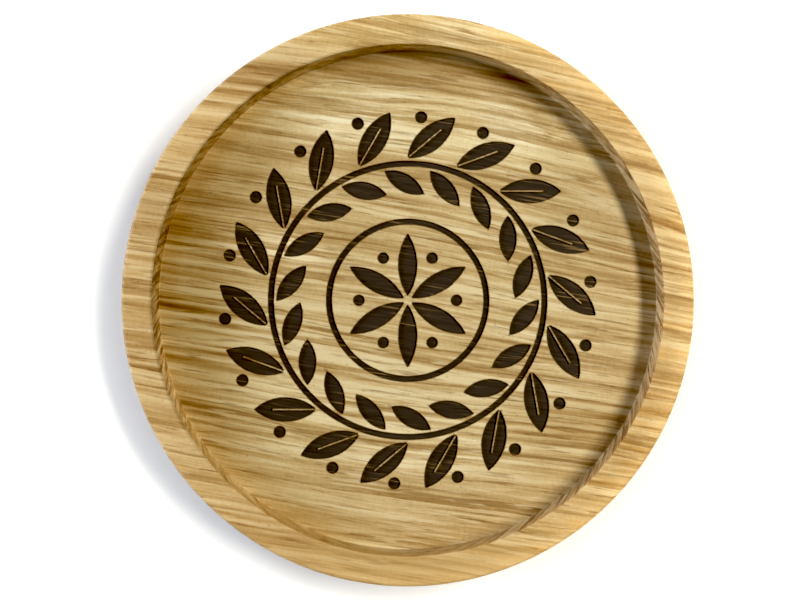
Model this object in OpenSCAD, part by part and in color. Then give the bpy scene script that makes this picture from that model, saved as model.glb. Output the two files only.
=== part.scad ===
// Round solid-oak drink coaster: a milled disc with a raised rim, a burnt-in
// leaf garland on the recess floor, and four stick-on cork feet underneath.
// Millimetres. +Z is up, the origin is on the table under the centre, and the
// grain of the oak runs close to the X axis.

/* [Oak disc] */
// Outer diameter of the disc
body_d = 100; // [90:0.5:115]
// Thickness of the oak disc
body_h = 10; // [8:0.5:14]
// Rounding of the outer top and bottom edges
edge_r = 0.7; // [0.3:0.1:1.5]

/* [Recess] */
// Diameter of the milled recess that takes the glass
recess_d = 89.2; // [80:0.2:90]
// Depth of the recess below the rim
recess_depth = 4.4; // [2.5:0.1:5]
// Broken edge between the rim and the recess wall
lip_r = 0.25; // [0.1:0.05:0.5]
// Cutter radius left in the corner between wall and floor
cove_r = 0.3; // [0.1:0.05:0.8]

/* [Engraving] */
// Depth of the burnt grooves below the recess floor
groove_depth = 0.4; // [0.2:0.05:0.8]
// Thickness of the charred layer on the bottom of each groove
char_t = 0.15; // [0.1:0.01:0.19]
// Radius of the garland's stem, at the middle of its line
stem_r = 24.5; // [23:0.5:27]
// Width of the stem line
stem_w = 0.9; // [0.5:0.1:1.2]
// Leaves on each side of the stem
leaf_n = 18; // [10:1:18]
// Length of the outer leaves
outer_leaf_l = 11; // [7:0.1:11.5]
// Width of the outer leaves
outer_leaf_w = 4.2; // [2.4:0.1:4.4]
// Length of the inner leaves
inner_leaf_l = 8; // [5:0.1:8.2]
// Width of the inner leaves
inner_leaf_w = 3; // [1.8:0.1:3.2]
// Lean of the leaves from the stem's own direction, in degrees
leaf_lean = 40; // [38:1:46]
// Width of the bare vein in each outer leaf
vein_w = 0.4; // [0.2:0.02:0.6]
// Radius of the berries between the leaf tips
berry_r = 1; // [0.4:0.1:1.1]
// Radius of the compass rosette in the middle
rosette_r = 12.5; // [8:0.5:13]
// Width of the line round the rosette
ring_w = 0.9; // [0.5:0.1:1.2]

/* [Cork feet] */
// Diameter of each stick-on cork foot
foot_d = 12; // [8:0.5:16]
// Thickness of the cork
foot_t = 1.3; // [0.8:0.1:3]
// Thickness of the adhesive film that holds it
film_t = 0.2; // [0.1:0.05:0.3]
// Distance of each foot from the centre
foot_r = 33; // [20:1:40]
// Rounding of the foot's lower edge
foot_edge_r = 0.25; // [0.1:0.05:0.4]

/* [Hidden] */
$fn = 96;
body_r = body_d / 2;
recess_r = recess_d / 2;
base_z = foot_t + film_t;                 // underside of the oak
floor_z = base_z + body_h - recess_depth; // recess floor
groove_z = floor_z - groove_depth;        // bottom of the burnt grooves
leaf_gap = 0.6;                           // bare wood between the stem and a leaf's foot
berry_ring_r = stem_r + 8.4;
rosette_ring_r = rosette_r + 1.6;         // middle of the rosette's line

oak = [0.80, 0.66, 0.44];
charred = [0.16, 0.11, 0.05];
cork = [0.66, 0.47, 0.30];
film = [0.90, 0.88, 0.80];

// A leaf outline from (0,0) along +X: the overlap of two circles.
module leaf(l, w) {
  r = (l * l + w * w) / (4 * w);
  translate([l / 2, 0])
    intersection() {
      translate([0, w / 2 - r]) circle(r);
      translate([0, r - w / 2]) circle(r);
    }
}

// A flat ring, its line w wide, on radius r.
module line_ring(r, w) {
  difference() {
    circle(r + w / 2);
    circle(r - w / 2);
  }
}

module outer_leaves_2d() {
  for (k = [0 : leaf_n - 1])
    rotate(k * 360 / leaf_n)
      translate([0, stem_r + stem_w / 2 + leaf_gap])
        rotate(leaf_lean)
          difference() {
            leaf(outer_leaf_l, outer_leaf_w);
            translate([-1, -vein_w / 2]) square([1 + outer_leaf_l * 0.72, vein_w]);
          }
}

module inner_leaves_2d() {
  for (k = [0 : leaf_n - 1])
    rotate((k + 0.5) * 360 / leaf_n)
      translate([0, stem_r - stem_w / 2 - leaf_gap])
        rotate(-leaf_lean)
          leaf(inner_leaf_l, inner_leaf_w);
}

module stem_2d() { line_ring(stem_r, stem_w); }

module berries_2d() {
  for (k = [0 : leaf_n - 1])
    rotate((k - 0.21) * 360 / leaf_n)
      translate([0, berry_ring_r]) circle(berry_r);
}

// Six compass-drawn petals that stop short of the centre and the line round them,
// and six dots between them.
module petals_2d() {
  for (k = [0 : 5])
    rotate(30 + k * 60) {
      translate([rosette_r * 0.07, 0]) leaf(rosette_r * 0.88, rosette_r * 0.26);
      rotate(30) translate([rosette_r * 0.70, 0]) circle(rosette_r * 0.075);
    }
}

module rosette_ring_2d() { line_ring(rosette_ring_r, ring_w); }

// The charred layer on the bottom of the grooves.
module char_layer() {
  color(charred)
    translate([0, 0, groove_z]) linear_extrude(char_t) children();
}

// The grooves, from their bottom to above the recess floor.
module groove() {
  translate([0, 0, groove_z]) linear_extrude(groove_depth + 1) children();
}

// Half section of the disc: X is the radius, Y the height above its underside.
module body_section() {
  difference() {
    union() {
      square([body_r - edge_r, body_h]);
      translate([0, edge_r]) square([body_r, body_h - 2 * edge_r]);
      translate([body_r - edge_r, edge_r]) circle(edge_r);
      translate([body_r - edge_r, body_h - edge_r]) circle(edge_r);
    }
    // the recess, with the cutter's radius in its corner
    translate([-1, body_h - recess_depth + cove_r]) square([recess_r + 1, recess_depth]);
    translate([-1, body_h - recess_depth]) square([recess_r - cove_r + 1, recess_depth]);
    translate([recess_r - cove_r, body_h - recess_depth + cove_r]) circle(cove_r);
    // the broken edge at the rim
    difference() {
      translate([recess_r - 0.01, body_h - lip_r]) square([lip_r + 0.01, lip_r + 1]);
      translate([recess_r + lip_r, body_h - lip_r]) circle(lip_r);
    }
  }
}

module oak_body() {
  color(oak)
    difference() {
      translate([0, 0, base_z]) rotate_extrude() body_section();
      groove() outer_leaves_2d();
      groove() inner_leaves_2d();
      groove() stem_2d();
      groove() berries_2d();
      groove() petals_2d();
      groove() rosette_ring_2d();
    }
}

module burnt_outer_leaves() { char_layer() outer_leaves_2d(); }
module burnt_inner_leaves() { char_layer() inner_leaves_2d(); }
module burnt_stem_ring() { char_layer() stem_2d(); }
module burnt_berries() { char_layer() berries_2d(); }
module burnt_rosette_petals() { char_layer() petals_2d(); }
module burnt_rosette_ring() { char_layer() rosette_ring_2d(); }

module at_foot(a) {
  rotate(a) translate([foot_r, 0, 0]) children();
}

module foot_adhesive_films() {
  color(film)
    for (a = [45 : 90 : 315])
      at_foot(a) translate([0, 0, foot_t]) cylinder(h = film_t, r = foot_d / 2);
}

// One punched cork disc with its lower edge rounded.
module cork_foot(a) {
  color(cork)
    at_foot(a)
      rotate_extrude() {
        square([foot_d / 2 - foot_edge_r, foot_t]);
        translate([0, foot_edge_r]) square([foot_d / 2, foot_t - foot_edge_r]);
        translate([foot_d / 2 - foot_edge_r, foot_edge_r]) circle(foot_edge_r);
      }
}

oak_body();
burnt_outer_leaves();
burnt_inner_leaves();
burnt_stem_ring();
burnt_berries();
burnt_rosette_petals();
burnt_rosette_ring();
foot_adhesive_films();
cork_foot(225);  // cork_foot_front_left
cork_foot(315);  // cork_foot_front_right
cork_foot(135);  // cork_foot_rear_left
cork_foot(45);  // cork_foot_rear_right
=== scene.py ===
"""Looks for a round solid-oak drink coaster: milled disc, burnt-in garland, cork feet."""

import math

import bpy
import numpy as np
from mathutils import Euler, Matrix, Vector, geometry, kdtree, noise


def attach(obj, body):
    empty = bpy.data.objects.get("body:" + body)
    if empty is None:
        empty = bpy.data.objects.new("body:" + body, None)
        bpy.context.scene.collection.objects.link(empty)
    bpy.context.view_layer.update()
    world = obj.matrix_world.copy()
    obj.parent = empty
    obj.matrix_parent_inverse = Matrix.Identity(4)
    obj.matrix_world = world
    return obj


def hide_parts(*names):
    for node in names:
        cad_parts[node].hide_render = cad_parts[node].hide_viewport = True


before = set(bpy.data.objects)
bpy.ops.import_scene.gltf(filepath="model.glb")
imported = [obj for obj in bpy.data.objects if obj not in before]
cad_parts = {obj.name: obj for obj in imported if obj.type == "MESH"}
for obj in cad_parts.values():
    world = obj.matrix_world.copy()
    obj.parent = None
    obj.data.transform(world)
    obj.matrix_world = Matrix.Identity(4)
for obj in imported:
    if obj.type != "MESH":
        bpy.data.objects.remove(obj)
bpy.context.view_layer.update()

MM = 0.001

# ---------------------------------------------------------------- sizes, in mm
BODY_R, EDGE = 50.0, 0.7
BASE_Z, TOP_Z, FLOOR_Z = 1.5, 11.5, 7.1
RECESS_R, LIP, COVE = 44.6, 0.16, 0.14
GROOVE_Z, CHAR_Z = 6.7, 6.85
STEM_R, STEM_W = 24.5, 0.9
LEAVES, LEAN = 18, math.radians(40)
OUTER_L, OUTER_W, VEIN_W = 11.0, 4.2, 0.4
INNER_L, INNER_W = 8.0, 3.0
LEAF_GAP = 0.6
BERRY_R, BERRY_RING = 1.0, STEM_R + 8.4
ROSETTE_R, RING_W = 12.5, 0.9
RING_R = ROSETTE_R + 1.6
FOOT_R, FOOT_T, FILM_T, FOOT_RING = 6.0, 1.3, 0.2, 33.0
FEET = {"front_left": 225, "front_right": 315, "rear_left": 135, "rear_right": 45}

# The grain runs close to X, falling a little to the right, and the growth rings lean
# over towards -Y on their way up. GRAIN turns a point into (along the grain, across the
# rings, along the rings).
TILT = math.radians(-8.5)
ALONG = Vector((math.cos(TILT), math.sin(TILT), 0))
FLAT = Vector((-math.sin(TILT), math.cos(TILT), 0))
ACROSS = (FLAT * 0.945 + Vector((0, 0, 0.327))).normalized()
RINGWISE = ALONG.cross(ACROSS)
GRAIN = Matrix((ALONG, ACROSS, RINGWISE))


# ---------------------------------------------------------------- small helpers
def new_object(name, verts, faces, mats, normals=None, smooth=True):
    mesh = bpy.data.meshes.new(name)
    mesh.from_pydata([tuple(v) for v in verts], [], faces)
    mesh.validate(clean_customdata=False)
    for m in mats:
        mesh.materials.append(m)
    if smooth:
        mesh.shade_smooth()
    if normals is not None:
        mesh.normals_split_custom_set(normals)
    mesh.update()
    ob = bpy.data.objects.new(name, mesh)
    bpy.context.scene.collection.objects.link(ob)
    return ob


def turned(points, a):
    c, s = math.cos(a), math.sin(a)
    return points @ np.array([[c, s], [-s, c]])


def wobble(points):
    """A burnt line creeps a little along the grain, so its edge is never quite clean."""
    out = np.empty_like(points)
    for i, (x, y) in enumerate(points):
        u = x * ALONG.x + y * ALONG.y
        v = x * FLAT.x + y * FLAT.y
        a = 0.060 * noise.noise((u * 0.9, v * 4.0, 3.1)) + 0.022 * noise.noise((u * 3.0, v * 6.0, 9.4))
        b = 0.020 * noise.noise((u * 2.1, v * 2.1, 7.7))
        out[i] = (x + a * ALONG.x + b * FLAT.x, y + a * ALONG.y + b * FLAT.y)
    return out


# ---------------------------------------------------------------- engraved outlines
STEP = 0.2


def straight(a, b):
    n = max(1, int(math.hypot(b[0] - a[0], b[1] - a[1]) / STEP))
    t = np.linspace(0, 1, n, endpoint=False)[:, None]
    return np.array(a) * (1 - t) + np.array(b) * t


def leaf_loop(length, width, vein=0.0):
    """Counter-clockwise outline of a leaf from (0,0) along +X, with or without a bare vein."""
    r = (length**2 + width**2) / (4 * width)
    half = math.asin(length / 2 / r)
    start = -half if not vein else -math.acos((vein / 2 + r - width / 2) / r)
    n = int((half - start) * r / STEP)
    a = np.linspace(start, half, n + 1)
    x, y = length / 2 + r * np.sin(a), (width / 2 - r) + r * np.cos(a)
    lower, upper = np.c_[x, -y], np.c_[x[::-1], y[::-1]]
    if not vein:
        return np.vstack([lower[:-1], upper[:-1]])
    end = 0.72 * length
    x0 = x[0]
    slot = np.vstack(
        [
            straight((x0, vein / 2), (end, vein / 2)),
            straight((end, vein / 2), (end, -vein / 2)),
            straight((end, -vein / 2), (x0, -vein / 2)),
        ]
    )
    return np.vstack([lower[:-1], upper[:-1], slot])


def round_loop(r, centre=(0.0, 0.0), least=28):
    n = max(least, int(2 * math.pi * r / STEP))
    a = np.arange(n) * 2 * math.pi / n
    return np.c_[centre[0] + r * np.cos(a), centre[1] + r * np.sin(a)]


def placed(loop, base, lean, a):
    return turned(turned(loop, lean) + np.array([0.0, base]), a)


turn = 2 * math.pi / LEAVES
outer = leaf_loop(OUTER_L, OUTER_W, VEIN_W)
inner = leaf_loop(INNER_L, INNER_W)
petal = leaf_loop(ROSETTE_R * 0.88, ROSETTE_R * 0.26) + np.array([ROSETTE_R * 0.07, 0.0])
# each shape is (outer loop, hole loop or None)
SHAPES = {
    "outer_leaves": [(placed(outer, STEM_R + STEM_W / 2 + LEAF_GAP, LEAN, k * turn), None) for k in range(LEAVES)],
    "inner_leaves": [(placed(inner, STEM_R - STEM_W / 2 - LEAF_GAP, -LEAN, (k + 0.5) * turn), None) for k in range(LEAVES)],
    "stem_ring": [(round_loop(STEM_R + STEM_W / 2), round_loop(STEM_R - STEM_W / 2))],
    "berries": [(turned(round_loop(BERRY_R, (0.0, BERRY_RING)), (k - 0.21) * turn), None) for k in range(LEAVES)],
    "rosette_petals": [(turned(petal, math.radians(30 + 60 * k)), None) for k in range(6)]
    + [(turned(round_loop(ROSETTE_R * 0.075, (ROSETTE_R * 0.70, 0.0)), math.radians(60 + 60 * k)), None) for k in range(6)],
    "rosette_ring": [(round_loop(RING_R + RING_W / 2), round_loop(RING_R - RING_W / 2))],
}
SHAPES = {g: [(wobble(o), None if h is None else wobble(h)) for o, h in shapes] for g, shapes in SHAPES.items()}


def inside(loop, pts):
    """Even-odd test of many points against one closed loop."""
    hit = np.zeros(len(pts), bool)
    lo, hi = loop.min(0), loop.max(0)
    near = np.where(((pts >= lo) & (pts <= hi)).all(1))[0]
    if not len(near):
        return hit
    px, py = pts[near, 0][:, None], pts[near, 1][:, None]
    x0, y0 = loop[:, 0], loop[:, 1]
    x1, y1 = np.roll(x0, -1), np.roll(y0, -1)
    crosses = (y0 > py) != (y1 > py)
    with np.errstate(divide="ignore", invalid="ignore"):
        at = x0 + (py - y0) / (y1 - y0) * (x1 - x0)
    hit[near] = ((crosses & (px < at)).sum(1) % 2) == 1
    return hit


def in_shapes(shapes, pts):
    hit = np.zeros(len(pts), bool)
    for o, h in shapes:
        this = inside(o, pts)
        if h is not None:
            this &= ~inside(h, pts)
        hit |= this
    return hit


def distance_finder(loops):
    """Distance from points to the nearest outline."""
    dense = []
    for loop in loops:
        nxt = np.roll(loop, -1, 0)
        for t in (0.0, 0.25, 0.5, 0.75):
            dense.append(loop * (1 - t) + nxt * t)
    dense = np.vstack(dense)
    tree = kdtree.KDTree(len(dense))
    for i, p in enumerate(dense):
        tree.insert((p[0], p[1], 0), i)
    tree.balance()
    return lambda pts: np.array([tree.find((p[0], p[1], 0))[2] for p in pts])


def offset_rows(loop, distance, every):
    """Points beside a loop, on its outer side for a positive distance."""
    d = np.roll(loop, -1, 0) - np.roll(loop, 1, 0)
    n = np.c_[d[:, 1], -d[:, 0]]
    n /= np.maximum(np.linalg.norm(n, axis=1), 1e-9)[:, None]
    return (loop + n * distance)[::every]


def hex_points(radius, pitch, seed):
    rng = np.random.default_rng(seed)
    n = int(radius / pitch) + 2
    rows = []
    for j in range(-n, n + 1):
        x = (np.arange(-n, n + 1) + 0.5 * (j % 2)) * pitch
        rows.append(np.c_[x, np.full_like(x, j * pitch * 0.866)])
    p = np.vstack(rows)
    p += rng.uniform(-0.18, 0.18, p.shape) * pitch
    return p[np.hypot(p[:, 0], p[:, 1]) < radius]


def triangulate(loops, extra):
    """Triangles over the hull of the loops, keeping every loop's edges. Returns points, triangles."""
    pts, edges = [], []
    for loop in loops:
        k = len(pts)
        pts += [Vector(p) for p in loop]
        edges += [(k + i, k + (i + 1) % len(loop)) for i in range(len(loop))]
    pts += [Vector(p) for p in extra]
    v, _, f, origin, _, _ = geometry.delaunay_2d_cdt(pts, edges, [], 0, 1e-7)
    out = np.array([(p.x, p.y) for p in v])
    tri = np.array(f)
    a, b, c = (out[tri[:, i]] for i in range(3))
    area = (b[:, 0] - a[:, 0]) * (c[:, 1] - a[:, 1]) - (b[:, 1] - a[:, 1]) * (c[:, 0] - a[:, 0])
    tri[area < 0] = tri[area < 0][:, ::-1]
    where = {}
    for i, o in enumerate(origin):
        for j in o:
            where[j] = i
    return out, tri[np.abs(area) > 1e-12], where


# ---------------------------------------------------------------- node graph helper
class Graph:
    """A material's node tree. Numbers go straight onto sockets, sockets are linked."""

    def __init__(self, name):
        self.mat = bpy.data.materials.new(name)
        self.mat.use_nodes = True
        self.tree = self.mat.node_tree
        self.tree.nodes.clear()

    def put(self, socket, value):
        if isinstance(value, bpy.types.NodeSocket):
            self.tree.links.new(value, socket)
        elif value is not None:
            socket.default_value = value

    def node(self, kind, inputs=None, **props):
        n = self.tree.nodes.new(kind)
        for k, v in props.items():
            setattr(n, k, v)
        for k, v in (inputs or {}).items():
            self.put(n.inputs[k], v)
        return n

    def math(self, op, a, b=None, c=None, clamp=False):
        n = self.node("ShaderNodeMath", operation=op, use_clamp=clamp)
        for i, v in enumerate((a, b, c)):
            self.put(n.inputs[i], v)
        return n.outputs[0]

    def add(self, *xs):
        out = xs[0]
        for x in xs[1:]:
            out = self.math("ADD", out, x)
        return out

    def mul(self, *xs):
        out = xs[0]
        for x in xs[1:]:
            out = self.math("MULTIPLY", out, x)
        return out

    def centred(self, fac, amount):
        """(fac - 0.5) * amount"""
        return self.math("MULTIPLY_ADD", fac, amount, -0.5 * amount)

    def step(self, x, low, high, out_low=0.0, out_high=1.0):
        """Smooth step from out_low at low to out_high at high."""
        n = self.node("ShaderNodeMapRange", interpolation_type="SMOOTHSTEP")
        for k, v in zip(("Value", "From Min", "From Max", "To Min", "To Max"), (x, low, high, out_low, out_high)):
            self.put(n.inputs[k], v)
        return n.outputs["Result"]

    def lin(self, x, low, high, out_low=0.0, out_high=1.0):
        n = self.node("ShaderNodeMapRange", interpolation_type="LINEAR", clamp=True)
        for k, v in zip(("Value", "From Min", "From Max", "To Min", "To Max"), (x, low, high, out_low, out_high)):
            self.put(n.inputs[k], v)
        return n.outputs["Result"]

    def vscale(self, vec, xyz):
        n = self.node("ShaderNodeVectorMath", operation="MULTIPLY")
        self.put(n.inputs[0], vec)
        n.inputs[1].default_value = xyz
        return n.outputs[0]

    def vadd(self, vec, other):
        n = self.node("ShaderNodeVectorMath", operation="ADD")
        self.put(n.inputs[0], vec)
        self.put(n.inputs[1], other)
        return n.outputs[0]

    def parts(self, vec):
        n = self.node("ShaderNodeSeparateXYZ")
        self.put(n.inputs[0], vec)
        return n.outputs[0], n.outputs[1], n.outputs[2]

    def join(self, x, y, z):
        n = self.node("ShaderNodeCombineXYZ")
        for i, v in enumerate((x, y, z)):
            self.put(n.inputs[i], v)
        return n.outputs[0]

    def noise(self, vec, lengths, detail=2.0, rough=0.5, shift=0.0):
        """Noise stretched to the given lengths in mm along each axis."""
        v = self.vscale(vec, tuple(1.0 / x for x in lengths))
        if shift:
            v = self.vadd(v, (shift, shift * 0.7, shift * 1.3))
        n = self.node("ShaderNodeTexNoise", {"Vector": v, "Scale": 1.0, "Detail": detail, "Roughness": rough})
        return n.outputs["Fac"]

    def cells(self, vec, lengths, shift=0.0, randomness=1.0):
        """(distance to the cell's middle, a random number for the cell)"""
        v = self.vscale(vec, tuple(1.0 / x for x in lengths))
        if shift:
            v = self.vadd(v, (shift, shift * 0.7, shift * 1.3))
        n = self.node("ShaderNodeTexVoronoi", {"Vector": v, "Scale": 1.0, "Randomness": randomness})
        r, _, _ = self.parts(n.outputs["Color"])
        return n.outputs["Distance"], r

    def ramp(self, fac, stops, interpolation="LINEAR"):
        n = self.node("ShaderNodeValToRGB", {"Fac": fac})
        n.color_ramp.interpolation = interpolation
        el = n.color_ramp.elements
        while len(el) < len(stops):
            el.new(0.5)
        for e, (p, c) in zip(el, stops):
            e.position = p
            e.color = (*c, 1.0)
        return n.outputs["Color"]

    def mix(self, fac, a, b, blend="MIX"):
        n = self.node("ShaderNodeMix", data_type="RGBA", blend_type=blend)
        self.put(n.inputs[0], fac)
        self.put(n.inputs[6], a if isinstance(a, bpy.types.NodeSocket) else (*a, 1.0))
        self.put(n.inputs[7], b if isinstance(b, bpy.types.NodeSocket) else (*b, 1.0))
        return n.outputs[2]

    def mix_value(self, fac, a, b):
        n = self.node("ShaderNodeMix", data_type="FLOAT")
        for k, v in ((0, fac), (2, a), (3, b)):
            self.put(n.inputs[k], v)
        return n.outputs[0]

    def dim(self, col, factor):
        n = self.node("ShaderNodeVectorMath", operation="SCALE")
        self.put(n.inputs[0], col)
        self.put(n.inputs["Scale"], factor)
        return n.outputs[0]

    def bump(self, height, distance, strength=1.0, normal=None):
        n = self.node("ShaderNodeBump", {"Height": height, "Strength": strength, "Distance": distance})
        if normal is not None:
            self.put(n.inputs["Normal"], normal)
        return n.outputs["Normal"]

    def surface(self, **inputs):
        p = self.node("ShaderNodeBsdfPrincipled", {k.replace("_", " "): v for k, v in inputs.items()})
        out = self.node("ShaderNodeOutputMaterial")
        self.tree.links.new(p.outputs[0], out.inputs["Surface"])
        return self.mat


def srgb(r, g, b):
    def one(c):
        c /= 255.0
        return c / 12.92 if c <= 0.04045 else ((c + 0.055) / 1.055) ** 2.4

    return one(r), one(g), one(b)


# ---------------------------------------------------------------- oak
def grain_space(g):
    """Position in mm as (along the grain, across the rings, along the rings), and plain position in mm."""
    co = g.node("ShaderNodeTexCoord").outputs["Object"]
    mm = g.node("ShaderNodeVectorMath", operation="SCALE")
    g.put(mm.inputs[0], co)
    mm.inputs["Scale"].default_value = 1000.0
    e = GRAIN.to_euler("XYZ")
    m = g.node("ShaderNodeMapping", vector_type="POINT")
    g.put(m.inputs["Vector"], mm.outputs[0])
    m.inputs["Rotation"].default_value = tuple(e)
    return m.outputs[0], mm.outputs[0]


def oak_figure(g):
    """The figure of the wood as sockets, from the solid's own position."""
    p, mm = grain_space(g)
    u, r, t = g.parts(p)
    # the rings lean over more towards the right
    x, y, z = g.parts(mm)
    lean = g.mul(g.math("MAXIMUM", g.add(x, 15.0), 0.0), 0.0062)
    r = g.math("MULTIPLY_ADD", lean, g.math("SUBTRACT", z, FLOOR_Z), r)
    p = g.join(u, r, t)
    # the grain bends down towards the right of the back half and sways a little on its way
    onset = g.math("MINIMUM", g.math("MAXIMUM", g.add(u, 2.0), 0.0), 18.0)
    bend = g.add(g.mul(onset, onset, 0.00311), g.mul(g.math("MAXIMUM", g.math("SUBTRACT", u, 16.0), 0.0), 0.112))
    bend = g.mul(bend, g.step(y, -5.0, 11.0), g.step(y, 42.0, 18.0, 0.50, 1.0))
    bend = g.mul(bend, g.mix_value(g.step(z, TOP_Z - 0.5, TOP_Z - 0.1), 1.0, g.step(y, 8.0, 24.0, 0.80, 0.45)))  # less so up on the rim
    wide = g.centred(g.noise(p, (95, 24, 24), 1.0, 0.5, 3.3), 6.5)
    mid = g.centred(g.noise(p, (38, 4.0, 5.0), 2.0, 0.5, 9.1), 1.15)
    fine = g.centred(g.noise(p, (11, 0.8, 0.9), 3.0, 0.62, 5.7), 0.85)
    r1 = g.add(r, bend, wide)
    r2 = g.add(r1, mid)
    r3 = g.add(r2, fine)
    pw = g.join(u, r2, t)  # follows the bends
    pf = g.join(u, r3, t)  # and the feathering

    # growth rings of uneven width: pale wood, then a band with many vessels
    pace = g.node("ShaderNodeTexNoise", {"W": g.math("MULTIPLY", r3, 1 / 5.0), "Scale": 1.0, "Detail": 2.0}, noise_dimensions="1D")
    q = g.add(g.math("MULTIPLY", r3, -1 / 1.9), g.centred(pace.outputs["Fac"], 4.6))
    f = g.math("FRACT", q)
    ring_id = g.math("FLOOR", q)
    chance = g.node("ShaderNodeTexWhiteNoise", {"W": ring_id}, noise_dimensions="1D").outputs["Value"]
    fade = g.step(g.noise(pw, (24, 2.0, 4), 2.0, 0.55, 21.0), 0.40, 0.66)
    hold = g.mul(g.lin(chance, 0.0, 1.0, 0.15, 1.0), g.math("MULTIPLY_ADD", fade, 0.88, 0.12))
    edge = g.step(f, 1.0, 0.93)
    early = g.mul(g.step(f, 0.45, 0.92), edge, hold)
    late = g.mul(f, edge, g.math("MULTIPLY_ADD", chance, 0.6, 0.4))

    streak = g.noise(pw, (52, 1.15, 2.4), 3.0, 0.50, 1.7)
    fibre = g.noise(pf, (9, 0.34, 0.40), 2.0, 0.6, 13.0)
    zone = g.noise(pw, (80, 6.5, 11), 1.0, 0.5, 31.0)
    broad = g.noise(pw, (70, 3.0, 6.0), 2.0, 0.5, 141.0)
    busy = g.step(g.noise(pw, (46, 5.5, 8), 2.0, 0.5, 111.0), 0.36, 0.62, 0.50, 1.30)  # calm and lively parts of the board
    lively = g.add(g.mul(g.step(x, 8.0, -8.0), g.step(g.math("ABSOLUTE", g.add(y, 6.0)), 26.0, 14.0), 0.50), g.mul(g.step(x, 14.0, 30.0), 0.20), 1.0)
    lively = g.mix_value(g.step(g.math("SQRT", g.add(g.mul(x, x), g.mul(y, y))), 45.5, 44.0), 1.0, lively)
    busy = g.mul(busy, lively)

    # vessels cut lengthwise: dark dashes, thickest in the rings' porous bands, and pale ones between them
    nd = g.noise(pf, (8.5, 0.50, 0.60), 3.0, 0.5, 151.0)
    dash = g.step(g.add(nd, g.mul(early, 0.10), g.mul(busy, 0.05)), 0.62, 0.76)
    nl = g.noise(pf, (9.5, 0.52, 0.62), 3.0, 0.5, 161.0)
    cream = g.mul(g.step(nl, 0.54, 0.68), g.step(dash, 0.4, 0.0))
    # long thin vessel lines
    d0, chance0 = g.cells(pf, (22.0, 0.62, 0.62), 51.0)
    line = g.mul(g.step(d0, 0.28, 0.08), g.step(chance0, 0.55, 0.85))

    d, chance2 = g.cells(pf, (2.6, 0.26, 0.26), 71.0)
    pore = g.mul(g.step(d, 0.34, 0.14), g.step(chance2, 0.30, 0.55))
    pore = g.mul(pore, g.add(g.mul(early, 0.55), g.mul(dash, 0.40), 0.10))
    d3, chance3 = g.cells(p, (0.9, 0.42, 0.42), 81.0)
    speck = g.mul(g.step(d3, 0.30, 0.12), g.step(chance3, 0.93, 0.96))
    # rays glint as small flecks that stand across the grain
    ray = g.noise(p, (0.55, 0.8, 3.0), 2.0, 0.6, 91.0)
    # rings cut across on upright faces: fine dark and pale lines
    cut = g.noise(pw, (30, 0.62, 12), 2.0, 0.55, 131.0)
    amber = g.noise(pw, (17, 2.6, 5.0), 2.0, 0.5, 171.0)
    return dict(p=p, mm=mm, r=r2, cut=cut, amber=amber, early=early, late=late, streak=streak, fibre=fibre, zone=zone, broad=broad, busy=busy, cream=cream, dash=dash, line=line, pore=pore, speck=speck, ray=ray)


def oak_colour(g, s):
    tone = g.add(
        g.mul(g.centred(s["streak"], 1.35), s["busy"]), g.centred(s["fibre"], 0.36), g.centred(s["zone"], 0.70), g.centred(s["ray"], 0.20), g.mul(s["late"], -0.20), 0.56
    )
    col = g.ramp(
        tone,
        [
            (0.16, srgb(158, 125, 78)),
            (0.36, srgb(186, 155, 104)),
            (0.54, srgb(208, 180, 130)),
            (0.74, srgb(226, 205, 160)),
        ],
    )
    col = g.mix(g.math("MULTIPLY", s["early"], 0.40), col, srgb(150, 112, 61))
    col = g.mix(g.math("MULTIPLY", s["cream"], 0.46), col, srgb(231, 212, 170))
    col = g.mix(g.math("MULTIPLY", s["dash"], 0.56), col, srgb(137, 99, 49))
    col = g.mix(g.math("MULTIPLY", s["line"], 0.46), col, srgb(116, 83, 42))
    col = g.mix(g.math("MULTIPLY", s["pore"], 0.66), col, srgb(98, 68, 32))
    col = g.mix(g.math("MULTIPLY", s["speck"], 0.40), col, srgb(110, 80, 42))
    return col


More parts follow.
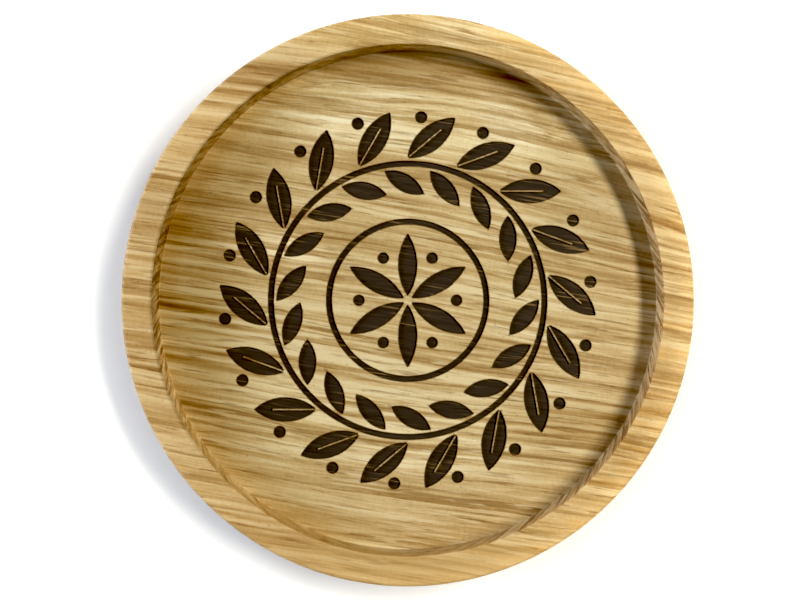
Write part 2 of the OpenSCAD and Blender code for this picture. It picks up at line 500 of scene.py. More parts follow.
def make_oak():
    g = Graph("oak")
    s = oak_figure(g)
    col = oak_colour(g, s)
    # upright faces are routed and rougher: the rings show as a hatch, and where the grain runs into them they are darker
    x, y, z = g.parts(s["mm"])
    away = g.math("SQRT", g.add(g.mul(x, x), g.mul(y, y)))
    outside = g.step(away, 46.0, 48.5)  # the outer edge is sanded smoother than the recess wall
    n = g.node("ShaderNodeTexCoord").outputs["Normal"]
    _, _, nz = g.parts(n)
    side = g.step(g.math("ABSOLUTE", nz), 0.8, 0.2)
    dot = g.node("ShaderNodeVectorMath", operation="DOT_PRODUCT")
    g.put(dot.inputs[0], n)
    dot.inputs[1].default_value = ALONG
    end = g.math("POWER", g.math("ABSOLUTE", dot.outputs["Value"]), 2.0)
    col = g.mix(g.math("MULTIPLY", side, 0.85), col, g.mix(1.0, col, (0.86, 0.84, 0.83), "MULTIPLY"))
    col = g.mix(g.math("MULTIPLY", end, 0.40), col, g.mix(1.0, col, (0.76, 0.72, 0.68), "MULTIPLY"))
    hatch = g.mul(side, g.lin(end, 0.05, 0.60, 0.30, 1.0))
    calm = g.mul(g.step(x, 10.0, -5.0), g.step(y, -13.0, -24.0), g.math("SUBTRACT", 1.0, outside))
    hatch = g.mul(hatch, g.math("MULTIPLY_ADD", calm, -0.85, 1.0))
    back = g.mul(g.step(x, 6.0, -6.0), g.step(y, 6.0, 18.0), g.math("SUBTRACT", 1.0, outside))
    hatch = g.mul(hatch, g.math("MULTIPLY_ADD", back, -0.35, 1.0))
    col = g.mix(g.mul(hatch, g.step(s["cut"], 0.52, 0.64), g.math("MULTIPLY_ADD", outside, -0.17, 0.45)), col, srgb(224, 196, 148))
    col = g.mix(g.mul(hatch, g.step(s["cut"], 0.49, 0.36), g.math("MULTIPLY_ADD", outside, -0.36, 0.72)), col, srgb(104, 74, 38))
    # painted light and shade on the recess wall: paler at its foot and darker towards the lip on the left and on the
    # right towards the back, paler at the back and at the front left, darker at the front right, with a painted
    # highlight along its top at the front; the lip on the left gets a painted dark line
    high = g.lin(z, FLOOR_Z, TOP_Z)
    left = g.step(x, 6.0, -30.0)
    low_left = g.mul(g.step(x, 8.0, -14.0), g.step(y, -24.0, -38.0))
    wall_painted_light = g.add(
        g.mul(left, g.math("MULTIPLY_ADD", high, -0.62, 0.40)),
        g.mul(g.step(y, 36.0, 43.0), 0.22),
        g.mul(g.step(x, 10.0, 28.0), g.step(y, 2.0, 15.0), g.math("MULTIPLY_ADD", high, -0.48, 0.20)),
        g.mul(g.step(x, 20.0, 36.0), g.step(y, -6.0, -18.0), -0.12),
        g.mul(low_left, 0.05),
        g.mul(g.step(x, -20.0, -34.0), g.step(y, -3.0, -9.0), g.step(y, -30.0, -20.0), 0.20),
        g.mul(g.step(high, 0.80, 0.97), g.step(y, -12.0, -30.0), 0.28),
    )
    inner_wall = g.mul(side, g.step(away, 46.0, 45.2))
    col = g.dim(col, g.math("MULTIPLY_ADD", inner_wall, wall_painted_light, 1.0))
    # the wall on the upper left is darker and warmer
    col = g.mix(g.mul(inner_wall, g.step(x, -12.0, -20.0), g.step(y, -5.0, 5.0)), col, g.mix(1.0, col, (0.88, 0.84, 0.73), "MULTIPLY"))
    # painted shade: a dark line along the lip on the left
    lip_painted_shade = g.mul(g.step(away, 45.15, 44.80), g.step(z, TOP_Z - 0.4, TOP_Z - 0.15), g.step(x, 8.0, -18.0), g.step(y, -34.0, -18.0))
    col = g.dim(col, g.math("MULTIPLY_ADD", lip_painted_shade, -0.30, 1.0))
    plain = col
    # the rim is brighter and warmer than the milled floor, most of all at the right and along its outer edge, where
    # the brightening is a painted highlight on the side the key lamp lights
    up = g.math("MAXIMUM", g.lin(z, FLOOR_Z + 0.3, TOP_Z - 0.2), g.step(away, 45.0, 45.6))
    rim = g.mix(g.mul(g.step(y, -38.5, -46.0), 0.45), col, srgb(203, 174, 123))  # calmer wood at the front
    rim = g.mix(g.lin(x, -45.0, 45.0), g.mix(1.0, rim, (1.07, 1.03, 0.97), "MULTIPLY"), g.mix(1.0, rim, (1.20, 1.16, 1.08), "MULTIPLY"))
    rim = g.mix(g.step(y, 38.0, 46.0), rim, g.mix(1.0, rim, (1.17, 1.28, 1.40), "MULTIPLY"))
    # bands of the board that follow the grain, placed across it
    v = g.mul(g.math("MULTIPLY_ADD", z, -0.327, s["r"]), 1 / 0.945)

    def band(at, wide, full):
        return g.step(g.math("ABSOLUTE", g.math("SUBTRACT", v, at)), wide, full)

    def shade(c, fac, tint):
        return g.mix(fac, c, g.mix(1.0, c, tint, "MULTIPLY"))

    far_left, far_right = g.step(x, -12.0, -20.0), g.step(x, 24.0, 36.0)
    rim = shade(rim, g.mul(far_left, band(37.0, 6.0, 2.5)), (0.85, 0.82, 0.80))
    rim = shade(rim, g.mul(far_left, band(24.5, 6.0, 3.0)), (1.07, 1.08, 1.10))
    rim = shade(rim, g.mul(far_left, band(9.0, 7.0, 3.0)), (0.87, 0.845, 0.82))
    rim = shade(rim, g.mul(far_left, band(-44.5, 5.0, 2.0)), (0.93, 0.90, 0.87))
    rim = shade(rim, g.mul(g.step(y, 38.0, 42.0), g.step(x, 0.0, 5.0), g.step(x, 17.0, 11.0)), (1.04, 1.09, 1.22))
    rim = shade(rim, g.mul(far_right, band(-10.0, 8.0, 3.0)), (0.94, 0.90, 0.84))
    rim = shade(rim, g.mul(g.step(x, 5.0, 24.0), g.step(s["amber"], 0.52, 0.68), 0.85), (0.99, 0.89, 0.70))
    # painted highlight: the outer band of the rim is brighter, most of all towards the right
    outer_rim_highlight = g.mul(g.step(away, 46.0, 49.6), g.math("SUBTRACT", 1.0, side), g.lin(x, -25.0, 35.0, 0.06, 0.26))
    rim = g.dim(rim, g.add(outer_rim_highlight, 1.0))
    # painted shade: the floor is darker towards the recess wall and paler towards the middle
    floor = g.mix(g.step(away, 41.0, 27.0), g.mix(1.0, col, (1.00, 1.03, 1.05), "MULTIPLY"), g.mix(1.0, col, (1.07, 1.14, 1.20), "MULTIPLY"))
    # parts of the board: a pale belt at the back, a dark one behind it, and a browner patch of heartwood at the left;
    # the dark belt and the darkening towards the back wall are a dark band of the grain with painted shade below the
    # back wall, and the heartwood patch holds painted shade beside the left wall
    belt = g.add(y, g.mul(x, 0.12))
    pale = g.mul(g.step(g.math("ABSOLUTE", g.math("SUBTRACT", belt, 33.0)), 9.0, 3.5), g.step(x, -34.0, -14.0))
    floor = g.mix(pale, floor, g.mix(1.0, floor, (1.16, 1.22, 1.28), "MULTIPLY"))
    floor = g.mix(g.mul(pale, g.step(x, 8.0, -6.0)), floor, g.mix(1.0, floor, (1.13, 1.19, 1.33), "MULTIPLY"))
    # painted shade in part: darker towards the back wall and along the dark belt, together with a dark band of the
    # grain
    floor = g.mix(g.step(belt, 38.0, 43.0), floor, g.mix(1.0, floor, (0.90, 0.86, 0.80), "MULTIPLY"))
    dark = g.mul(g.step(g.math("ABSOLUTE", g.math("SUBTRACT", belt, 40.9)), 3.2, 1.0), g.step(x, 22.0, 12.0), g.step(x, -23.0, -15.0), g.lin(x, -6.0, 9.0, 1.0, 0.5))
    floor = g.mix(dark, floor, g.mix(1.0, floor, (0.70, 0.62, 0.50), "MULTIPLY"))
    reach = g.add(y, 1.0)
    reach = g.math("MAXIMUM", reach, g.mul(reach, -0.75))
    # partly painted shade: the browner heartwood patch deepens the shade beside the left wall, where the fill lamp's
    # light is kept off
    heartwood_and_shade = g.mul(g.step(x, -21.0, -43.0), g.step(reach, 42.0, 12.0), g.step(y, -16.0, -5.0, 0.62, 1.0))
    bands = g.add(g.mul(s["streak"], 0.40), g.mul(s["broad"], 0.60))
    heartwood_and_shade = g.mul(heartwood_and_shade, g.step(bands, 0.56, 0.42, 0.42, 1.0))
    floor = g.mix(heartwood_and_shade, floor, g.mix(1.0, floor, (0.55, 0.43, 0.22), "MULTIPLY"))
    # painted shade: the floor darker beside the wall at the front left
    corner = g.mul(g.step(away, 38.0, 43.5), g.step(x, -4.0, -24.0), g.step(y, -12.0, -27.0))
    floor = g.mix(corner, floor, g.mix(1.0, floor, (0.89, 0.84, 0.76), "MULTIPLY"))
    floor = shade(floor, g.mul(g.step(x, -37.0, -32.0), g.step(x, -12.0, -20.0), band(7.0, 7.0, 3.0)), (1.20, 1.24, 1.36))
    floor = shade(floor, g.mul(g.step(x, -8.0, -18.0), g.step(y, -12.0, -18.0), g.step(away, 41.5, 38.0)), (1.06, 1.08, 1.11))
    floor = shade(floor, g.mul(g.step(x, 19.0, 28.0), g.step(y, 4.0, 12.0), g.step(y, 33.0, 26.0)), (0.87, 0.85, 0.81))
    floor = shade(floor, g.mul(g.step(x, 16.0, 25.0), band(-6.5, 7.0, 3.0)), (1.13, 1.17, 1.26))
    floor = shade(floor, g.mul(g.step(x, 11.0, 20.0), band(-18.0, 5.0, 2.0)), (0.86, 0.81, 0.72))
    floor = shade(floor, g.mul(g.step(x, -8.0, -13.0), g.step(x, -25.0, -20.0), g.step(y, 19.0, 24.0), g.step(y, 37.0, 33.0)), (1.09, 1.11, 1.17))
    # painted shade: a darker band just inside the wall at the back right, lengthening its cast shadow
    floor = shade(floor, g.mul(g.step(away, 38.8, 40.4), g.step(x, 12.0, 17.0), g.step(x, 27.0, 23.0), g.step(y, 28.0, 32.0)), (0.80, 0.76, 0.70))
    floor = shade(floor, g.mul(g.step(x, 11.0, 15.0), g.step(x, 26.0, 22.0), g.step(y, 26.0, 29.0), g.step(away, 40.2, 38.8)), (1.08, 1.14, 1.30))
    # painted shade: the floor darker beside the wall on the left
    floor = shade(floor, g.mul(g.step(away, 40.0, 43.0), g.step(x, -14.0, -22.0), g.step(y, -6.0, 2.0)), (0.87, 0.81, 0.70))
    front = g.mul(g.step(y, -19.0, -25.0), g.step(x, -12.0, -4.0), g.step(x, 27.0, 16.0), g.step(away, 40.5, 36.5, 0.40, 1.0))
    floor = g.mix(front, floor, g.mix(1.0, floor, (1.12, 1.16, 1.25), "MULTIPLY"))
    col = g.mix(up, floor, rim)
    col = g.mix(g.step(nz, -0.3, -0.8), col, plain)  # the underside is the board as it comes
    # scorched edge beside the burnt lines
    burn = g.node("ShaderNodeAttribute", attribute_name="burn", attribute_type="GEOMETRY").outputs["Fac"]
    burn = g.mul(burn, g.math("MULTIPLY_ADD", s["fibre"], 0.9, 0.55))
    burn = g.math("MINIMUM", burn, 1.0)
    col = g.mix(g.step(burn, 0.10, 0.70), col, srgb(112, 84, 48))
    col = g.mix(g.step(burn, 0.48, 1.0), col, srgb(56, 46, 33))
    height = g.add(g.mul(s["pore"], -1.0), g.mul(s["line"], -0.35), g.mul(s["dash"], -0.45), g.mul(s["speck"], -0.6), g.centred(s["fibre"], 0.55), g.mul(s["early"], -0.25))
    height = g.add(height, g.mul(side, g.centred(s["cut"], 1.6)))
    nrm = g.bump(height, 0.00006, 0.8)
    rough = g.add(0.62, g.mul(up, -0.02), g.mul(s["pore"], 0.22), g.centred(s["fibre"], 0.22), g.mul(end, 0.15))
    return g.surface(Base_Color=col, Roughness=rough, Normal=nrm, Specular_IOR_Level=0.35)


def make_char():
    g = Graph("charred_oak")
    s = oak_figure(g)
    p = s["p"]
    # paler hard wood shows through as dashes along the grain, here and there
    pale = g.noise(p, (9, 0.34, 0.6), 3.0, 0.6, 7.0)
    patch = g.noise(p, (11, 3.0, 3.5), 2.0, 0.5, 17.0)
    streak = g.mul(g.step(pale, 0.55, 0.68), g.step(patch, 0.44, 0.62))
    col = g.ramp(g.add(g.mul(s["fibre"], 0.7), g.mul(pale, 0.3)), [(0.30, srgb(55, 48, 44)), (0.55, srgb(69, 61, 54)), (0.75, srgb(86, 76, 66))])
    col = g.mix(g.math("MULTIPLY", streak, 0.80), col, srgb(158, 130, 88))
    col = g.mix(g.math("MULTIPLY", s["pore"], 0.7), col, srgb(36, 31, 25))
    height = g.add(g.centred(s["fibre"], 0.8), g.mul(s["pore"], -1.0), g.mul(streak, 0.4))
    nrm = g.bump(height, 0.00008, 0.9)
    rough = g.add(0.74, g.centred(s["fibre"], 0.2), g.mul(streak, -0.10))
    return g.surface(Base_Color=col, Roughness=rough, Normal=nrm, Specular_IOR_Level=0.25)


# ---------------------------------------------------------------- cork and film
def make_cork():
    g = Graph("cork")
    _, mm = grain_space(g)
    warp = g.node("ShaderNodeTexNoise", {"Vector": g.vscale(mm, (1.4, 1.4, 1.4)), "Scale": 1.0, "Detail": 2.0})
    v = g.vadd(mm, g.vscale(g.vadd(warp.outputs["Color"], (-0.5, -0.5, -0.5)), (0.5, 0.5, 0.5)))
    d, chance = g.cells(v, (0.95, 0.95, 0.75), 3.0)
    edge = g.node("ShaderNodeTexVoronoi", {"Vector": g.vadd(g.vscale(v, (1 / 0.95, 1 / 0.95, 1 / 0.75)), (3.0, 2.1, 3.9)), "Scale": 1.0}, feature="DISTANCE_TO_EDGE")
    gap = g.step(edge.outputs["Distance"], 0.10, 0.02)
    inner_tone = g.noise(mm, (0.28, 0.28, 0.28), 3.0, 0.6, 5.0)
    tone = g.add(g.mul(chance, 0.75), g.mul(inner_tone, 0.35))
    col = g.ramp(tone, [(0.15, srgb(112, 74, 42)), (0.40, srgb(156, 112, 70)), (0.65, srgb(180, 136, 90)), (0.95, srgb(202, 162, 114))])
    dark = g.mul(g.step(chance, 0.90, 0.95), g.step(inner_tone, 0.35, 0.6))
    col = g.mix(g.math("MULTIPLY", dark, 0.8), col, srgb(74, 44, 24))
    col = g.mix(g.math("MULTIPLY", gap, 0.75), col, srgb(66, 40, 22))
    height = g.add(g.mul(gap, -1.0), g.mul(d, -0.5), g.centred(inner_tone, 0.7))
    nrm = g.bump(height, 0.00012, 0.9)
    rough = g.add(0.82, g.centred(inner_tone, 0.2))
    return g.surface(Base_Color=col, Roughness=rough, Normal=nrm, Specular_IOR_Level=0.3)


def make_film():
    g = Graph("adhesive")
    _, mm = grain_space(g)
    cloud = g.noise(mm, (0.8, 0.8, 0.8), 3.0, 0.6, 2.0)
    dust = g.step(g.noise(mm, (0.22, 0.22, 0.22), 2.0, 0.6, 12.0), 0.58, 0.70)
    col = g.ramp(cloud, [(0.3, srgb(206, 198, 176)), (0.7, srgb(228, 222, 204))])
    col = g.mix(g.math("MULTIPLY", dust, 0.5), col, srgb(150, 128, 98))
    nrm = g.bump(g.add(g.centred(cloud, 1.0), g.mul(dust, 0.5)), 0.00004, 0.7)
    rough = g.add(0.36, g.mul(dust, 0.3), g.centred(cloud, 0.15))
    return g.surface(Base_Color=col, Roughness=rough, Normal=nrm)


OAK, CHAR, CORK, FILM = make_oak(), make_char(), make_cork(), make_film()


# ---------------------------------------------------------------- oak disc
def arc(cx, cy, r, a0, a1, n):
    a = np.radians(np.linspace(a0, a1, n + 1))
    return [((cx + r * math.cos(x), cy + r * math.sin(x)), (math.cos(x), math.sin(x))) for x in a]


def lay_out(ob):
    """A flat map of the disc's surface, in px of a 1024 px sheet: the top as seen from above, the sides as strips below it,
    the underside and the pocket beds as small discs beside it."""
    me = ob.data
    first, count, vert = np.empty(len(me.polygons), np.int32), np.empty(len(me.polygons), np.int32), np.empty(len(me.loops), np.int32)
    me.polygons.foreach_get("loop_start", first)
    me.polygons.foreach_get("loop_total", count)
    me.loops.foreach_get("vertex_index", vert)
    co, nrm = np.empty(len(me.vertices) * 3, np.float32), np.empty(len(me.polygons) * 3, np.float32)
    me.vertices.foreach_get("co", co)
    me.polygons.foreach_get("normal", nrm)
    at, nrm = co.reshape(-1, 3)[vert].astype(float) / MM, nrm.reshape(-1, 3).astype(float)
    face = np.empty(len(vert), np.int32)
    for k, (a, c) in enumerate(zip(first, count)):
        face[a : a + c] = k
    mid = np.stack([np.bincount(face, q, len(first)) for q in at.T], 1) / count[:, None]
    lift, away = nrm[:, 2][face], np.hypot(mid[:, 0], mid[:, 1])[face]
    upper, x, y, z = mid[:, 2][face] > FLOOR_Z - 0.1, at[:, 0], at[:, 1], at[:, 2]
    middle = np.arctan2(mid[:, 1], mid[:, 0])[face]
    turn = middle + (np.arctan2(y, x) - middle + math.pi) % (2 * math.pi) - math.pi
    half = middle >= 0
    along = np.where(half, turn, turn + math.pi) / math.pi * 1000
    steep = np.abs(lift) <= 0.5
    drop = np.where(steep & (away <= 44.2), (FLOOR_Z - z) * 0.8, 0.0)  # pocket walls fold inward
    uv = np.c_[361 + 7 * (x + nrm[face, 0] * drop), 361 + 7 * (y + nrm[face, 1] * drop)]
    for where, u, v in (
        (lift < -0.5, 868 - 2.85 * x, 156 + 2.85 * y),
        ((lift > 0.5) & ~upper, 868 + 2.85 * x, 450 + 2.85 * y),
        (steep & (away > 47), 12 + along, 730 + 78 * half + 6.9 * (z - BASE_Z)),
        (steep & (away > 44.2) & (away <= 47), 1012 - along, 890 + 44 * half + 8 * (z - FLOOR_Z)),
    ):
        uv[where] = np.c_[u, v][where]
    layer = me.uv_layers.new(name="OFBake")
    layer.data.foreach_set("uv", (uv / 1024).astype(np.float32).ravel())


def build_oak():
    n = 720
    # half section with normals, from the underside round the outside to the recess floor
    sec = [((8.0, BASE_Z), (0, -1)), ((28.0, BASE_Z), (0, -1)), ((44.0, BASE_Z), (0, -1))]
    sec += arc(BODY_R - EDGE, BASE_Z + EDGE, EDGE, -90, 0, 6)
    sec += [((BODY_R, z), (1, 0)) for z in np.linspace(BASE_Z + EDGE, TOP_Z - EDGE, 5)[1:-1]]
    sec += arc(BODY_R - EDGE, TOP_Z - EDGE, EDGE, 0, 90, 7)
    sec += [((r, TOP_Z), (0, 1)) for r in (48.4, 47.2, 46.0)]
    sec += arc(RECESS_R + LIP, TOP_Z - LIP, LIP, 90, 180, 5)
    sec += [((RECESS_R, z), (-1, 0)) for z in np.linspace(TOP_Z - LIP, FLOOR_Z + COVE, 5)[1:-1]]
    cove = arc(RECESS_R - COVE, FLOOR_Z + COVE, COVE, 0, -90, 4)
    sec += [(p, (-nn[0], -nn[1])) for p, nn in cove]
    ang = np.arange(n) * 2 * math.pi / n
    cs, sn = np.cos(ang), np.sin(ang)
    # hand-sanded edges: the rounding breathes a little along the rim
    soft = np.array([noise.noise((3.0 * c, 3.0 * s, 0.4)) + 0.6 * noise.noise((11 * c, 11 * s, 4.4)) + 0.4 * noise.noise((31 * c, 31 * s, 8.4)) for c, s in zip(cs, sn)])
    verts, vnorm = [], []
    for (r, z), (nr, nz) in sec:
        corner = abs(nr) > 0.05 and abs(nz) > 0.05 and r > 46
        give = 0.030 * soft if corner else np.zeros(n)
        rr, zz = r - give * abs(nr), z - give * nz
        verts += list(np.c_[rr * cs, rr * sn, zz if np.ndim(zz) else np.full(n, zz)])
        vnorm += list(np.c_[nr * cs, nr * sn, np.full(n, nz)])
    faces, fnorm = [], []
    for k in range(len(sec) - 1):
        for i in range(n):
            j = (i + 1) % n
            q = (k * n + i, k * n + j, (k + 1) * n + j, (k + 1) * n + i)
            faces.append(q)
            fnorm += [vnorm[x] for x in q]
    hub = len(verts)
    verts.append(np.array([0, 0, BASE_Z]))
    vnorm.append(np.array([0, 0, -1]))
    for i in range(n):
        faces.append((hub, (i + 1) % n, i))
        fnorm += [np.array([0, 0, -1.0])] * 3
    last = (len(sec) - 1) * n

    # recess floor with the engraved pockets
    loops, owner = [], []
    for g, shapes in SHAPES.items():
        for o, h in shapes:
            loops.append(o)
            if h is not None:
                loops.append(h)
    near = distance_finder(loops)
    border = np.c_[(RECESS_R - COVE) * cs, (RECESS_R - COVE) * sn]
    extra = []
    for d, every in ((0.10, 1), (0.24, 2), (0.46, 3)):
        for loop in loops:
            for side in (d, -d):
                extra.append(offset_rows(loop, side, every))
    extra.append(hex_points(RECESS_R - 1.2, 1.5, 5))
    extra = np.vstack(extra)
    every_shape = [s for shapes in SHAPES.values() for s in shapes]
    extra = extra[~in_shapes(every_shape, extra)]
    extra = extra[near(extra) > 0.07]
    # thin out points that crowd each other
    seen, keep = set(), []
    for i, p in enumerate(extra):
        key = (round(p[0] / 0.11), round(p[1] / 0.11))
        if key not in seen:
            seen.add(key)
            keep.append(i)
    extra = extra[keep]
    pts, tri, where = triangulate([border] + loops, extra)
    mid = pts[tri].mean(1)
    pocket = in_shapes(every_shape, mid)
    dist = near(pts)
    halo = np.exp(-((dist / 0.13) ** 1.3))

    base = len(verts)
    index = np.arange(len(pts)) + base
    is_border = np.zeros(len(pts), bool)
    for i in range(n):
        index[where[i]] = last + i
        is_border[where[i]] = True
    remap = {}
    burn = [0.0] * base
    for i, p in enumerate(pts):
        if is_border[i]:
            continue
        remap[i] = len(verts)
        verts.append(np.array([p[0], p[1], FLOOR_Z]))
        burn.append(float(halo[i]))
    for i in range(len(pts)):
        if not is_border[i]:
            index[i] = remap[i]
    up = np.array([0, 0, 1.0])
    for a, b, c in tri[~pocket]:
        faces.append((index[a], index[b], index[c]))
        fnorm += [up] * 3
    low = {}

    def lower(i):
        if i not in low:
            low[i] = len(verts)
            verts.append(np.array([pts[i][0], pts[i][1], GROOVE_Z]))
            burn.append(1.0)
        return low[i]

    for a, b, c in tri[pocket]:
        faces.append((lower(a), lower(b), lower(c)))
        fnorm += [up] * 3
    # pocket walls, between a pocket triangle's edge and the floor beside it
    edge_of = {}
    for k, t in enumerate(tri):
        for a, b in ((t[0], t[1]), (t[1], t[2]), (t[2], t[0])):
            edge_of[(a, b)] = k
    for (a, b), k in list(edge_of.items()):
        m = edge_of.get((b, a))
        if pocket[k] and m is not None and not pocket[m]:
            d = pts[b] - pts[a]
            d /= np.linalg.norm(d)
            nn = np.array([-d[1], d[0], 0.0])
            faces.append((lower(b), lower(a), index[a], index[b]))
            fnorm += [nn] * 4
    verts = np.array(verts) * MM
    ob = new_object("oak_disc", verts, [tuple(int(x) for x in f) for f in faces], [OAK], [tuple(x) for x in fnorm])
    attr = ob.data.attributes.new("burn", "FLOAT", "POINT")
    attr.data.foreach_set("value", np.array(burn, np.float32))
    lay_out(ob)
    return ob


oak = build_oak()
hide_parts("oak_body")
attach(oak, "root")


# ---------------------------------------------------------------- burnt layers
def build_char(group):
    verts, faces, sharp = [], [], []
    for o, h in SHAPES[group]:
        loops = [o] if h is None else [o, h]
        near = distance_finder(loops)
        lo, hi = o.min(0), o.max(0)
        centre = (lo + hi) / 2
        grid = hex_points(float(np.linalg.norm(hi - lo)) / 2 + 0.5, 0.30, len(verts) + 11) + centre
        grid = grid[in_shapes([(o, h)], grid)]
        if len(grid):
            grid = grid[near(grid) > 0.10]
        pts, tri, _ = triangulate(loops, grid)
        tri = tri[in_shapes([(o, h)], pts[tri].mean(1))]
        used = np.unique(tri)
        dist = near(pts)
        base = len(verts)
        top, bottom = {}, {}
        for i in used:
            x, y = pts[i]
            u, v = x * ALONG.x + y * ALONG.y, x * FLAT.x + y * FLAT.y
            rise = 0.035 * noise.noise((u * 0.12, v * 2.4, 1.0)) + 0.018 * noise.noise((u * 0.5, v * 6.0, 5.0))
            rise *= min(1.0, dist[i] / 0.25)
            top[i] = len(verts)
            verts.append((x, y, CHAR_Z + rise))
        for i in used:
            bottom[i] = len(verts)
            verts.append((pts[i][0], pts[i][1], GROOVE_Z))
        edges = {}
        for a, b, c in tri:
            faces.append((top[a], top[b], top[c]))
            faces.append((bottom[c], bottom[b], bottom[a]))
            for e in ((a, b), (b, c), (c, a)):
                edges[e] = True
        for a, b in edges:
            if (b, a) not in edges:
                faces.append((top[b], top[a], bottom[a], bottom[b]))
    ob = new_object("char_" + group, np.array(verts) * MM, [tuple(int(x) for x in f) for f in faces], [CHAR])
    ob.data.set_sharp_from_angle(angle=math.radians(50))
    return ob


for group in SHAPES:
    ob = build_char(group)
    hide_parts("burnt_" + group)
    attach(ob, "root")


# ---------------------------------------------------------------- cork feet and their films
def build_lathe(name, section, n, mat, centre, rough=0.0, seed=0.0):
    """Closed solid of revolution from (r, z) points that start and end on the axis."""
    ang = np.arange(n) * 2 * math.pi / n
    verts, faces = [], []
    rings = []
    for r, z in section:
        if r == 0:
            rings.append([len(verts)])
            verts.append((centre[0], centre[1], z))
            continue
        ring = []
        for a in ang:
            x, y = centre[0] + r * math.cos(a), centre[1] + r * math.sin(a)
            out = 0.0
            if rough:
                k = noise.noise((x * 1.6, y * 1.6, z * 1.9 + seed)) * 0.7 + noise.noise((x * 4.3, y * 4.3, z * 4.3 + seed)) * 0.5
                pit = max(0.0, noise.noise((x * 2.3, y * 2.3, z * 2.6 + seed + 40)) - 0.42) * 2.2
                out = rough * (k - 0.6) - rough * 1.6 * pit
                out *= min(1.0, r / FOOT_R * 1.0) if r > FOOT_R * 0.9 else 0.0
            rr = r + out
            ring.append(len(verts))
            verts.append((centre[0] + rr * math.cos(a), centre[1] + rr * math.sin(a), z))
        rings.append(ring)
    for lo, hi in zip(rings, rings[1:]):
        for i in range(n):
            j = (i + 1) % n
            if len(lo) == 1:
                faces.append((lo[0], hi[j], hi[i]))
            elif len(hi) == 1:
                faces.append((lo[i], lo[j], hi[0]))
            else:
                faces.append((lo[i], lo[j], hi[j], hi[i]))
    ob = new_object(name, np.array(verts) * MM, faces, [mat])
    ob.data.set_sharp_from_angle(angle=math.radians(40))
    return ob


film_verts, film_faces = [], []
for name, a in FEET.items():
    c = (FOOT_RING * math.cos(math.radians(a)), FOOT_RING * math.sin(math.radians(a)))
    er = 0.25
    lower_edge = [(FOOT_R - er + er * math.cos(x), er + er * math.sin(x)) for x in np.radians(np.linspace(-90, 0, 6))]
    sec = [(0, 0.0), (2.5, 0.0), (4.5, 0.0)] + lower_edge
    sec += [(FOOT_R, z) for z in np.linspace(er, FOOT_T, 9)[1:]]
    sec += [(4.0, FOOT_T), (0, FOOT_T)]
    foot = build_lathe("cork_pad_" + name, sec, 192, CORK, c, rough=0.07, seed=a * 0.37)
    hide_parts("cork_foot_" + name)
    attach(foot, "root")
    # the film shows as a thin pale line over the cork
    n, z0, z1 = 160, FOOT_T, FOOT_T + FILM_T
    fs = [(0, z0), (FOOT_R - 0.03, z0), (FOOT_R, z0 + 0.04), (FOOT_R, z1 - 0.04), (FOOT_R - 0.03, z1), (0, z1)]
    base = len(film_verts)
    rings = []
    for r, z in fs:
        if r == 0:
            rings.append([len(film_verts)])
            film_verts.append((c[0], c[1], z))
            continue
        ring = []
        for k in range(n):
            b = 2 * math.pi * k / n
            w = r - 0.05 * (0.5 + noise.noise((2.2 * math.cos(b) + a, 2.2 * math.sin(b), 0.3)))
            ring.append(len(film_verts))
            film_verts.append((c[0] + w * math.cos(b), c[1] + w * math.sin(b), z))
        rings.append(ring)
    for lo, hi in zip(rings, rings[1:]):
        for i in range(n):
            j = (i + 1) % n
            if len(lo) == 1:
                film_faces.append((lo[0], hi[j], hi[i]))
            elif len(hi) == 1:
                film_faces.append((lo[i], lo[j], hi[0]))
            else:
                film_faces.append((lo[i], lo[j], hi[j], hi[i]))

films = new_object("foot_films", np.array(film_verts) * MM, film_faces, [FILM])
films.data.set_sharp_from_angle(angle=math.radians(40))
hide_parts("foot_adhesive_films")
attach(films, "root")


# ---------------------------------------------------------------- table
def make_table():
    g = Graph("table")
    co = g.node("ShaderNodeTexCoord").outputs["Object"]
    soft = g.node("ShaderNodeTexNoise", {"Vector": co, "Scale": 900.0, "Detail": 2.0})
    col = g.ramp(soft.outputs["Fac"], [(0.3, (0.90, 0.90, 0.90)), (0.7, (0.92, 0.92, 0.92))])
    # painted light: the table glows as if lit from within, as in a light tent, which lifts the disc's cast shadow and
    # tints it bluish; the glow is cut right under the disc as a painted shadow, and is even and pale far off
    away = g.node("ShaderNodeVectorMath", {0: co}, operation="LENGTH").outputs["Value"]
    far = g.step(away, 0.13, 0.70)
    clear = g.lin(away, 0.0545, 0.0605)
    painted_glow = g.add(g.step(away, 0.046, 0.0545, 0.03, 0.32), g.mul(clear, 0.25), g.mul(far, 0.43))
    # soft contact shade that trails off at both ends of the cast shadow
    x, y, _ = g.parts(co)
    ends = g.add(g.mul(g.step(y, -0.030, -0.045), g.step(x, -0.034, -0.016), g.step(x, 0.014, -0.002), 0.12), g.mul(g.step(x, -0.032, -0.042), g.step(y, 0.013, 0.024), 0.07))
    painted_glow = g.math("SUBTRACT", painted_glow, g.mul(ends, g.step(away, 0.0592, 0.0552)))
    painted_glow = g.math("MAXIMUM", painted_glow, 0.0)
    tint = g.mix(clear, (0.905, 1.0, 1.10), (0.93, 1.0, 1.01))
    tint = g.mix(far, tint, (1.0, 0.995, 0.985))
    return g.surface(Base_Color=col, Roughness=0.85, Specular_IOR_Level=0.1, Emission_Color=tint, Emission_Strength=painted_glow)


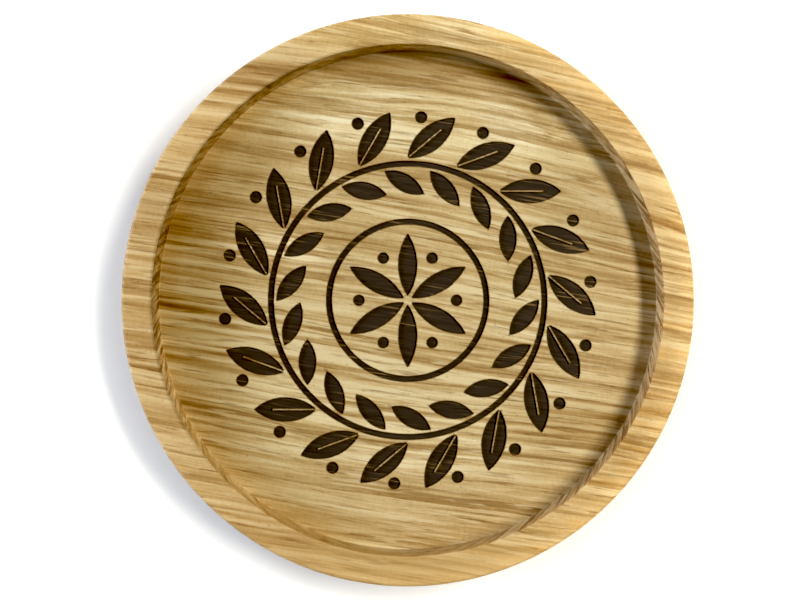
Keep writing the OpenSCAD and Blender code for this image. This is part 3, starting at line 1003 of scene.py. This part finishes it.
def make_backdrop():
    g = Graph("backdrop")
    co = g.node("ShaderNodeTexCoord").outputs["Object"]
    cloud = g.node("ShaderNodeTexNoise", {"Vector": co, "Scale": 0.4, "Detail": 1.0}).outputs["Fac"]
    tint = g.ramp(cloud, [(0.3, (0.97, 0.97, 0.965)), (0.7, (1.0, 0.995, 0.985))])
    _, _, z = g.parts(co)
    return g.surface(Base_Color=(0.2, 0.2, 0.2, 1.0), Roughness=0.9, Specular_IOR_Level=0.0, Emission_Color=tint, Emission_Strength=g.step(z, 0.0, 1.8, 1.03, 0.80))


size = 6.0
table = new_object("table", [(-size, -size, 0), (size, -size, 0), (size, size, 0), (-size, size, 0)], [(0, 1, 2, 3)], [make_table()], smooth=False)
# a paper sweep round the table, for the eye only: it lights nothing
around, section = 96, [(4.6 + 0.8 * math.sin(a), 0.8 - 0.8 * math.cos(a)) for a in np.radians(np.linspace(0, 90, 13))] + [(5.4, 3.0), (5.4, 6.0)]
sweep = []
for r, z in section:
    sweep += [(r * math.cos(k * 2 * math.pi / around), r * math.sin(k * 2 * math.pi / around), z) for k in range(around)]
walls = [(j * around + (k + 1) % around, j * around + k, (j + 1) * around + k, (j + 1) * around + (k + 1) % around) for j in range(len(section) - 1) for k in range(around)]
backdrop = new_object("backdrop", sweep, walls, [make_backdrop()])
backdrop.visible_diffuse = backdrop.visible_glossy = backdrop.visible_shadow = False


# ---------------------------------------------------------------- light
def aim(ob, at):
    ob.rotation_mode = "QUATERNION"
    ob.rotation_quaternion = (Vector(at) - ob.location).to_track_quat("-Z", "Y")


def area_light(name, azimuth, elevation, distance, width, height, power, colour, shape="RECTANGLE", at=(0, 0, 0.0071)):
    data = bpy.data.lights.new(name, "AREA")
    data.shape, data.size, data.size_y = shape, width, height
    data.energy, data.color = power, colour
    ob = bpy.data.objects.new(name, data)
    a, e = math.radians(azimuth), math.radians(elevation)
    ob.location = Vector(at) + distance * Vector((math.cos(e) * math.cos(a), math.cos(e) * math.sin(a), math.sin(e)))
    bpy.context.scene.collection.objects.link(ob)
    aim(ob, at)
    return ob


area_light("key", 17, 51.4, 1.0, 0.62, 0.165, 9.7, (1.0, 0.93, 0.77))
area_light("fill", 172, 14, 1.0, 0.50, 0.28, 9.2, (0.82, 0.85, 1.0))

world = bpy.data.worlds.new("studio")
world.use_nodes = True
world.node_tree.nodes["Background"].inputs["Color"].default_value = (1.0, 0.96, 0.92, 1.0)
world.node_tree.nodes["Background"].inputs["Strength"].default_value = 0.02
bpy.context.scene.world = world

# ---------------------------------------------------------------- camera, straight above
cam_data = bpy.data.cameras.new("camera")
cam_data.sensor_width, cam_data.lens = 36.0, 37.84
cam_data.shift_x, cam_data.shift_y = -7.7 / 800, 0.3 / 800
cam_data.clip_start, cam_data.clip_end = 0.005, 20.0
cam = bpy.data.objects.new("camera", cam_data)
cam.location = (0, 0, 0.1578)
bpy.context.scene.collection.objects.link(cam)
bpy.context.scene.camera = cam

scene = bpy.context.scene
scene.view_settings.view_transform = "Standard"
scene.view_settings.look = "None"
scene.view_settings.exposure = 0.0
scene.view_settings.gamma = 1.0
# a firm print: the deepest shadows fall to black
scene.view_settings.use_curve_mapping = True
curve = scene.view_settings.curve_mapping
curve.black_level = (0.03, 0.03, 0.03)
curve.white_level = (1.0, 1.0, 1.0)
curve.update()
